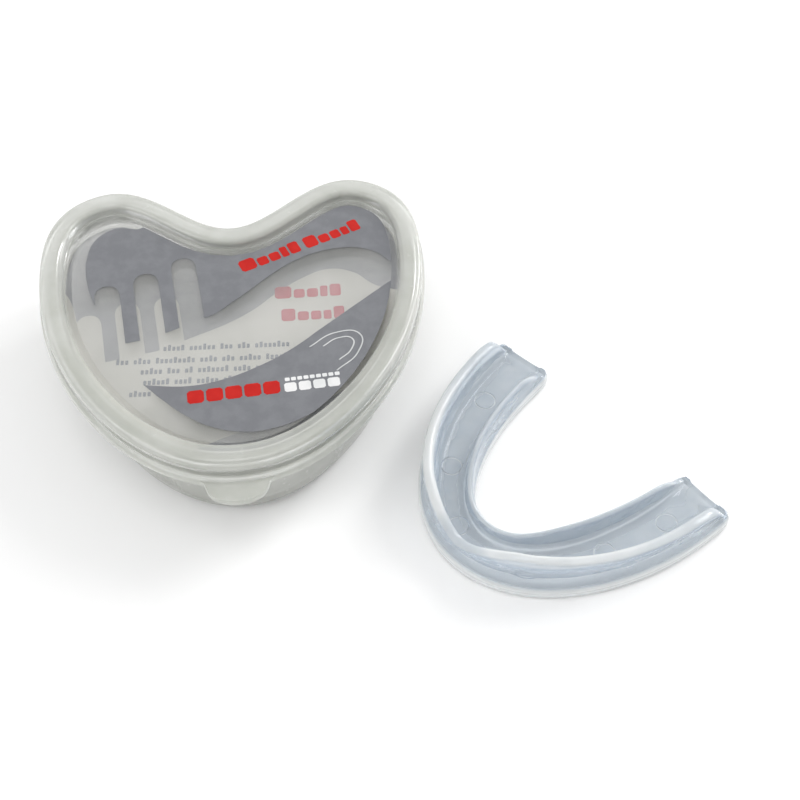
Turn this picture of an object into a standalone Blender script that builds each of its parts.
"""Mouthguard with its heart-shaped snap case, in metres, +Z up.

The origin is the middle of the case's flat base. +Y points to the notch between the two lobes and
-Y to the finger tab. The closed case lies on its base, and the mouthguard lies beside it, free.
"""

import math

import bmesh
import bpy
import numpy as np
from mathutils import Matrix, Vector

MM = 0.001

# ---- driving dimensions of the case -------------------------------------------------------------
CASE_WIDTH = 84 * MM  # across the two lobes, over the lid's skirt
CASE_LENGTH = 79 * MM  # lobe tops to the rounded point, without the finger tab
CASE_HEIGHT = 25 * MM  # base to the top of the lid's rim
CONTACT_GAP = 0.3 * MM  # left wherever one piece rests on or lies against another

TUB_WALL = 1.1 * MM
TUB_FLOOR = 1.2 * MM
TUB_BASE_RADIUS = 3.0 * MM  # outside, where the side wall meets the base
TUB_DRAFT = math.radians(8.5)
TUB_FLANGE_THICKNESS = 0.9 * MM  # the shelf that the lid's skirt comes down to
TUB_FLANGE_SETBACK = 0.6 * MM  # how far the shelf stays inside the skirt

LID_WALL = 1.0 * MM
SKIRT_HEIGHT = 7.0 * MM
SKIRT_BAND_HEIGHT = 2.2 * MM  # the thicker band along the skirt's lower edge
SKIRT_STEP = 0.6 * MM  # how far that band stands out
RIM_RADIUS = 1.2 * MM
PANEL_DROP = 3.0 * MM  # from the rim's top down to the sunken panel
PANEL_RADIUS = 1.2 * MM
BEAD_DEPTH = 0.7 * MM  # how far the tub's lip stands out under the rim
BEAD_HEIGHT = 0.9 * MM
BEAD_CLEARANCE = 0.5 * MM  # bead to skirt
PLUG_CLEARANCE = 0.3 * MM  # tub wall to the bottom of the sunken wall inside it

TAB_REACH = 4.7 * MM
TAB_WIDTH = 13.0 * MM
TAB_THICKNESS = 1.4 * MM

LABEL_THICKNESS = 0.25 * MM
LABEL_MARGIN = 0.5 * MM  # bare panel left round the label
CARD_THICKNESS = 0.4 * MM
CARD_DROP = 3.0 * MM  # card's top face below the underside of the panel

# ---- driving dimensions of the mouthguard -------------------------------------------------------
GUARD_WIDTH = 66 * MM  # over the ends of the arms
GUARD_LENGTH = 49 * MM  # front to the ends of the arms
ARM_STRAIGHT = 6 * MM  # straight end of each arm, past the arch
ARM_FLARE = 1.6 * MM  # how far each arm leans outwards over the length of the arch
FRONT_BREADTH = 11 * MM  # bite plate, inner to outer edge, at the front teeth
MOLAR_BREADTH = 14.5 * MM  # the same at the molars
PLATE_THICKNESS = 3.2 * MM
OUTER_WALL_FRONT = 12.8 * MM  # heights are above the surface that the guard stands on
OUTER_WALL_BACK = 9.8 * MM
INNER_WALL_FRONT = 6.6 * MM
INNER_WALL_MIDDLE = 9.2 * MM
INNER_WALL_BACK = 8.0 * MM
FRENUM_DEPTH = 6.0 * MM  # notch in the outer wall for the lip's frenum
FRENUM_HALF_ANGLE = math.radians(26)
OUTER_WALL_THICKNESS = 2.0 * MM
INNER_WALL_THICKNESS = 1.6 * MM
LIP_THICKNESS = 2.6 * MM  # rolled top edge of the outer wall
RECESS_DEPTH = 1.2 * MM  # how far the outer wall stands back from the plate's edge
EDGE_RADIUS = 0.6 * MM
TONGUE_LENGTH = 2.2 * MM  # plate left bare behind each outer wall
WALL_END_ROUND = 6.5 * MM  # how far from there each outer wall has risen to its full height

GUARD_TURN = math.radians(39)  # direction in which the arms point
GUARD_TUCK = 14.5 * MM  # its side lies this far inside the case's width, beside the point
GUARD_BEHIND_POINT = 4.0 * MM  # its middle lies this far behind the case's point

# ---- the case's outline -------------------------------------------------------------------------
# Right half, from the notch to the point, as shares of the half width and the half length.
HALF_HEART = (
    (0.0, 0.658),
    (0.286, 0.825),
    (0.621, 1.0),
    (0.893, 0.856),
    (1.0, 0.443),
    (0.893, -0.190),
    (0.583, -0.704),
    (0.214, -0.965),
    (0.0, -1.0),
)
SPAN_STEPS = 5
TIP_SPAN_STEPS = 7  # finer where the finger tab grows out of the skirt


def closed_spline(points, steps):
    """Samples and unit tangents of the periodic cubic spline through points, steps[i] per span."""
    points = np.array(points)
    count = len(points)
    chord = np.linalg.norm(np.roll(points, -1, 0) - points, axis=1)
    before = np.roll(chord, 1)
    slope = (np.roll(points, -1, 0) - points) / chord[:, None]
    matrix = np.zeros((count, count))
    for i in range(count):
        matrix[i, i - 1] += before[i]
        matrix[i, i] += 2 * (before[i] + chord[i])
        matrix[i, (i + 1) % count] += chord[i]
    bend = np.linalg.solve(matrix, 6 * (slope - np.roll(slope, 1, 0)))
    samples = []
    tangents = []
    for i in range(count):
        j = (i + 1) % count
        h = chord[i]
        for k in range(steps[i]):
            b = k / steps[i]
            a = 1 - b
            cubic_a = (a**3 - a) * h * h / 6
            cubic_b = (b**3 - b) * h * h / 6
            samples.append(a * points[i] + b * points[j] + cubic_a * bend[i] + cubic_b * bend[j])
            turn = (3 * b * b - 1) * bend[j] - (3 * a * a - 1) * bend[i]
            tangents.append(slope[i] + h / 6 * turn)
    tangents = np.array(tangents)
    return np.array(samples), tangents / np.linalg.norm(tangents, axis=1)[:, None]


def heart_outline():
    """The skirt's outline, clockwise from the notch, and its unit normals, pointing inwards."""
    right = [(x * CASE_WIDTH / 2, y * CASE_LENGTH / 2) for x, y in HALF_HEART]
    left = [(-x, y) for x, y in right[-2:0:-1]]
    steps = [SPAN_STEPS] * len(right + left)
    tip = len(right) - 1
    steps[tip - 1] = TIP_SPAN_STEPS
    steps[tip] = TIP_SPAN_STEPS
    samples, tangents = closed_spline(right + left, steps)
    return samples, np.stack([tangents[:, 1], -tangents[:, 0]], axis=1)


OUTLINE, INWARD = heart_outline()


def tab_bulge():
    """How far the finger tab carries each outline point outwards: a half ellipse at the point."""
    share = np.clip(np.abs(OUTLINE[:, 0]) / (TAB_WIDTH / 2), 0, 1)
    at_point = OUTLINE[:, 1] < 0
    return np.where(at_point, TAB_REACH * np.sqrt(1 - share**2), 0.0)


def ring(inset, height, tab=False):
    """One level of the case: the outline moved inwards by inset, at that height."""
    reach = inset - (tab_bulge() if tab else 0.0)
    flat = OUTLINE + INWARD * np.reshape(reach, (-1, 1))
    return [Vector((x, y, height)) for x, y in flat]


def corner(inset, height, radius, start, end, steps=3):
    """(inset, height) points on an arc about a centre, its angles in degrees from +inset to +Z."""
    points = []
    for k in range(steps + 1):
        angle = math.radians(start + (end - start) * k / steps)
        points.append((inset + radius * math.cos(angle), height + radius * math.sin(angle)))
    return points


# ---- building blocks ----------------------------------------------------------------------------
def material(name, colour, roughness, metallic=0.0):
    made = bpy.data.materials.new(name)
    made.use_nodes = True
    shader = made.node_tree.nodes["Principled BSDF"]
    shader.inputs["Base Color"].default_value = (*colour, 1)
    shader.inputs["Roughness"].default_value = roughness
    shader.inputs["Metallic"].default_value = metallic
    made.diffuse_color = (*colour, 1)
    return made


def loft(name, rings, finish, collection, round_trip=False):
    """A closed solid through rings of equally many points, with its two end rings filled."""
    bm = bmesh.new()
    levels = [[bm.verts.new(point) for point in points] for points in rings]
    for lower, upper in zip(levels, levels[1:]):
        for i in range(len(lower)):
            j = (i + 1) % len(lower)
            bm.faces.new((lower[i], lower[j], upper[j], upper[i]))
    bm.faces.new(levels[0])
    bm.faces.new(levels[-1])
    bmesh.ops.recalc_face_normals(bm, faces=bm.faces)
    mesh = bpy.data.meshes.new(name)
    bm.to_mesh(mesh)
    bm.free()
    mesh.shade_smooth()
    mesh.set_sharp_from_angle(angle=math.radians(40))
    mesh.materials.append(finish)
    made = bpy.data.objects.new(name, mesh)
    collection.objects.link(made)
    return made


def ease(value, start, end):
    """0 before start, 1 after end, and a smooth step between."""
    share = min(1.0, max(0.0, (value - start) / (end - start)))
    return share * share * (3 - 2 * share)


# ---- heights and insets shared by the tub, the lid and what lies between them --------------------
SKIRT_BOTTOM = CASE_HEIGHT - SKIRT_HEIGHT
CHANNEL_ROOF = CASE_HEIGHT - LID_WALL
LIP_TOP = CHANNEL_ROOF - CONTACT_GAP
PANEL_TOP = CASE_HEIGHT - PANEL_DROP
PANEL_UNDER = PANEL_TOP - LID_WALL
FLANGE_TOP = SKIRT_BOTTOM - CONTACT_GAP
FLANGE_BOTTOM = FLANGE_TOP - TUB_FLANGE_THICKNESS
CARD_TOP = PANEL_UNDER - CARD_DROP
CARD_BOTTOM = CARD_TOP - CARD_THICKNESS


def wall_inset(at_lip, height):
    """Inset of the tapering tub wall at a height, from its inset at the lip."""
    return at_lip + (LIP_TOP - height) * math.tan(TUB_DRAFT)


SKIRT_INNER = SKIRT_STEP + LID_WALL
BEAD_OUTER = SKIRT_INNER + BEAD_CLEARANCE
LIP_OUTER = BEAD_OUTER + BEAD_DEPTH
LIP_INNER = LIP_OUTER + TUB_WALL
PLUG_OUTER = wall_inset(LIP_INNER, PANEL_UNDER) + PLUG_CLEARANCE
PLUG_INNER = PLUG_OUTER + LID_WALL
PANEL_EDGE = PLUG_INNER + PANEL_RADIUS


def tub(collection):
    """Thin-walled tub: flat base, tapering wall, shelf under the skirt, lip with its bead."""
    base_start = wall_inset(LIP_OUTER, TUB_BASE_RADIUS) + TUB_BASE_RADIUS
    floor_radius = TUB_BASE_RADIUS - TUB_WALL
    floor_start = wall_inset(LIP_INNER, TUB_FLOOR + floor_radius) + floor_radius
    flange_outer = TUB_FLANGE_SETBACK
    bead_bottom = LIP_TOP - BEAD_HEIGHT
    half_wall = TUB_WALL / 2
    profile = corner(base_start, TUB_BASE_RADIUS, TUB_BASE_RADIUS, 270, 180)
    profile += [
        (wall_inset(LIP_OUTER, FLANGE_BOTTOM), FLANGE_BOTTOM),
        (flange_outer, FLANGE_BOTTOM),
        (flange_outer, FLANGE_TOP),
        (wall_inset(LIP_OUTER, FLANGE_TOP), FLANGE_TOP),
        (wall_inset(LIP_OUTER, bead_bottom - BEAD_DEPTH), bead_bottom - BEAD_DEPTH),
        (BEAD_OUTER, bead_bottom),
        (BEAD_OUTER, LIP_TOP - BEAD_HEIGHT / 3),
        (BEAD_OUTER + BEAD_HEIGHT / 3, LIP_TOP),
        (LIP_INNER - half_wall, LIP_TOP),
        (wall_inset(LIP_INNER, LIP_TOP - half_wall), LIP_TOP - half_wall),
    ]
    profile += corner(floor_start, TUB_FLOOR + floor_radius, floor_radius, 180, 270)
    finish = material("tub_polypropylene", (0.72, 0.74, 0.71), 0.38)
    return loft("case_tub", [ring(*point) for point in profile], finish, collection)


def lid(collection):
    """Snap lid: sunken panel, rim over the tub's lip, stepped skirt, finger tab at the point."""
    inside = LID_WALL / 2
    band_top = SKIRT_BOTTOM + SKIRT_BAND_HEIGHT
    tab_top = SKIRT_BOTTOM + TAB_THICKNESS
    profile = corner(PANEL_EDGE, PANEL_TOP + PANEL_RADIUS, PANEL_RADIUS, 270, 180)
    profile += corner(PLUG_INNER - RIM_RADIUS, CASE_HEIGHT - RIM_RADIUS, RIM_RADIUS, 0, 90)
    profile += corner(SKIRT_STEP + RIM_RADIUS, CASE_HEIGHT - RIM_RADIUS, RIM_RADIUS, 90, 180)
    profile += [
        (SKIRT_STEP, band_top + SKIRT_STEP),
        (0.0, band_top),
        (0.0, tab_top),
    ]
    rings = [ring(*point) for point in profile]
    rings += [ring(0.0, tab_top, tab=True), ring(0.0, SKIRT_BOTTOM, tab=True)]
    under = [
        (LID_WALL, SKIRT_BOTTOM),
        (LID_WALL, band_top - inside),
        (SKIRT_INNER, band_top + SKIRT_STEP - inside),
        (SKIRT_INNER, CHANNEL_ROOF - inside),
        (SKIRT_INNER + inside, CHANNEL_ROOF),
        (PLUG_OUTER - inside, CHANNEL_ROOF),
        (PLUG_OUTER, CHANNEL_ROOF - inside),
        (PLUG_OUTER, PANEL_UNDER + inside),
        (PLUG_OUTER + inside, PANEL_UNDER),
    ]
    rings += [ring(*point) for point in under]
    finish = material("lid_polypropylene", (0.76, 0.78, 0.75), 0.30)
    return loft("case_lid", rings, finish, collection)


def cut_sheet(name, inset, bottom, thickness, finish, collection):
    """A flat heart cut from sheet: the outline moved inwards by inset, with its thickness."""
    curve = bpy.data.curves.new(name, "CURVE")
    curve.dimensions = "2D"
    curve.fill_mode = "BOTH"
    curve.extrude = thickness / 2
    points = ring(inset, 0.0)
    spline = curve.splines.new("POLY")
    spline.points.add(len(points) - 1)
    for place, point in zip(spline.points, points):
        place.co = (point.x, point.y, 0, 1)
    spline.use_cyclic_u = True
    curve.materials.append(finish)
    made = bpy.data.objects.new(name, curve)
    made.location.z = bottom + thickness / 2
    collection.objects.link(made)
    return made


def label(collection):
    """Printed clear label stuck in the lid's sunken panel."""
    finish = material("label_film", (0.42, 0.43, 0.46), 0.25)
    inset = PANEL_EDGE + LABEL_MARGIN
    bottom = PANEL_TOP + CONTACT_GAP
    return cut_sheet("lid_label", inset, bottom, LABEL_THICKNESS, finish, collection)


def card(collection):
    """Printed paper card, caught by the tapering wall a little below the lid."""
    finish = material("card_paper", (0.80, 0.80, 0.76), 0.60)
    inset = wall_inset(LIP_INNER, CARD_BOTTOM) + CONTACT_GAP
    return cut_sheet("insert_card", inset, CARD_BOTTOM, CARD_THICKNESS, finish, collection)


# ---- the mouthguard -----------------------------------------------------------------------------
ARCH_LENGTH = GUARD_LENGTH - ARM_STRAIGHT - FRONT_BREADTH / 2
ARM_LEAN = 2 * ARM_FLARE / ARCH_LENGTH
ARCH_HALF_WIDTH = (GUARD_WIDTH - MOLAR_BREADTH) / 2 - ARM_STRAIGHT * ARM_LEAN
ARCH_STEPS = 20  # on each side of the front
TIP_STEPS = (0.3, 0.45, 0.56, 0.62, 0.78, 0.95, 1.0)  # shares of the straight end with a section


def guard_section(breadth, outer_top, inner_top):
    """(distance from the plate's inner edge, height) round one cross-section of the guard."""
    outer = breadth
    wall = outer - RECESS_DEPTH
    channel_outer = wall - OUTER_WALL_THICKNESS
    lip_inner = wall + RECESS_DEPTH / 2 - LIP_THICKNESS
    inner_wall = EDGE_RADIUS
    channel_inner = inner_wall + INNER_WALL_THICKNESS
    rise = outer_top - PLATE_THICKNESS
    inner_rise = inner_top - PLATE_THICKNESS

    def up(share):
        return PLATE_THICKNESS + share * rise

    def inner_up(share):
        return PLATE_THICKNESS + share * inner_rise

    return [
        (EDGE_RADIUS, 0),
        (outer - EDGE_RADIUS, 0),
        (outer, EDGE_RADIUS),
        (outer, PLATE_THICKNESS - EDGE_RADIUS),
        (outer - EDGE_RADIUS, PLATE_THICKNESS),
        (wall, up(0.12)),
        (wall - EDGE_RADIUS / 3, up(0.40)),
        (wall, up(0.68)),
        (wall + RECESS_DEPTH / 2, up(0.84)),
        (wall + RECESS_DEPTH / 3, up(0.95)),
        (wall - LIP_THICKNESS / 3, up(1.0)),
        (lip_inner + EDGE_RADIUS / 2, up(0.93)),
        (lip_inner, up(0.80)),
        (channel_outer, up(0.50)),
        (channel_outer - EDGE_RADIUS / 2, up(0.20)),
        (channel_outer - 2 * EDGE_RADIUS, PLATE_THICKNESS),
        (channel_inner + 2 * EDGE_RADIUS, PLATE_THICKNESS),
        (channel_inner + EDGE_RADIUS / 2, inner_up(0.20)),
        (channel_inner, inner_up(0.55)),
        (channel_inner - EDGE_RADIUS / 3, inner_up(0.92)),
        (inner_wall + INNER_WALL_THICKNESS / 2, inner_up(1.0)),
        (inner_wall + EDGE_RADIUS / 3, inner_up(0.90)),
        (inner_wall, inner_up(0.15)),
        (0, PLATE_THICKNESS - EDGE_RADIUS),
        (0, EDGE_RADIUS),
    ]


def arch_station(turn, past=0.0):
    """Point on the right half of the middle line, and its outward normal, front first.

    The arch is a quarter ellipse that leans outwards; past goes on straight from its end.
    """
    behind = 1 - math.cos(turn)
    half = ARCH_HALF_WIDTH - ARM_FLARE
    point = Vector((ARCH_LENGTH * behind, -half * math.sin(turn) - ARM_FLARE * behind**2))
    growth = half * math.cos(turn) + 2 * ARM_FLARE * behind * math.sin(turn)
    tangent = Vector((ARCH_LENGTH * math.sin(turn), -growth)).normalized()
    return point + tangent * past, Vector((tangent.y, -tangent.x))


def guard_stations():
    """(point, outward normal, turn from the front, distance to the arm's end), end to end."""
    half = []
    for k in range(ARCH_STEPS + 1):
        turn = math.pi / 2 * k / ARCH_STEPS
        half.append((*arch_station(turn), turn, ARM_STRAIGHT + ARCH_LENGTH * math.cos(turn)))
    for share in TIP_STEPS:
        past = share * ARM_STRAIGHT
        half.append((*arch_station(math.pi / 2, past), math.pi / 2, ARM_STRAIGHT - past))
    flip = Vector((1, -1))
    other = [(point * flip, normal * flip, turn, to_tip) for point, normal, turn, to_tip in half]
    return other[:0:-1] + half


def guard_heights(turn, to_tip):
    """Tops of the outer and the inner wall at one station, to_tip from the arm's end."""
    side = ease(turn, math.radians(20), math.radians(85))
    outer = OUTER_WALL_FRONT + (OUTER_WALL_BACK - OUTER_WALL_FRONT) * side
    from_middle = min(1.0, math.hypot(turn / FRENUM_HALF_ANGLE, 0.12))
    outer -= FRENUM_DEPTH * (1 - from_middle) ** 1.5
    rising = ease(turn, math.radians(15), math.radians(50))
    falling = ease(turn, math.radians(60), math.radians(90))
    inner = INNER_WALL_FRONT + (INNER_WALL_MIDDLE - INNER_WALL_FRONT) * rising
    inner += (INNER_WALL_BACK - INNER_WALL_MIDDLE) * falling
    lowest = PLATE_THICKNESS + EDGE_RADIUS
    beyond = min(1.0, max(0.0, (to_tip - TONGUE_LENGTH) / WALL_END_ROUND))
    outer_share = math.sqrt(1 - (1 - beyond) ** 2)
    inner_share = ease(to_tip, TONGUE_LENGTH / 2, 4 * TONGUE_LENGTH)
    return lowest + (outer - lowest) * outer_share, lowest + (inner - lowest) * inner_share


def mouthguard(collection):
    """U-shaped tray: bite plate, recessed outer wall with a rolled lip, thinner inner wall."""
    beside_case = (CASE_WIDTH + GUARD_WIDTH) / 2 - GUARD_TUCK
    rings = []
    for point, normal, turn, to_tip in guard_stations():
        breadth = FRONT_BREADTH + (MOLAR_BREADTH - FRONT_BREADTH) * math.sin(turn) ** 2
        trim = EDGE_RADIUS * (1 - ease(to_tip, 0, 2 * EDGE_RADIUS))
        section = guard_section(breadth - 2 * trim, *guard_heights(turn, to_tip))
        points = []
        for along, height in section:
            flat = point + normal * (along + trim - breadth / 2)
            points.append(Vector((flat.x, flat.y, height)))
        rings.append(points)
    finish = material("guard_eva", (0.70, 0.76, 0.82), 0.22)
    made = loft("mouthguard", rings, finish, collection)
    middle = (ARCH_LENGTH + ARM_STRAIGHT - FRONT_BREADTH / 2) / 2
    made.data.transform(Matrix.Translation(Vector((-middle, 0, 0))))
    made.location = (beside_case, GUARD_BEHIND_POINT - CASE_LENGTH / 2, 0)
    made.rotation_euler = (0, 0, GUARD_TURN)
    return made


def main():
    for old in list(bpy.data.objects):
        bpy.data.objects.remove(old, do_unlink=True)
    collection = bpy.data.collections.new("mouthguard_with_case")
    bpy.context.scene.collection.children.link(collection)
    case = bpy.data.objects.new("case", None)
    collection.objects.link(case)
    bottom_piece = tub(collection)
    top_piece = lid(collection)
    for piece, parent in (
        (bottom_piece, case),
        (top_piece, case),
        (label(collection), top_piece),
        (card(collection), bottom_piece),
    ):
        piece.parent = parent
    mouthguard(collection)
    bpy.context.view_layer.update()


main()
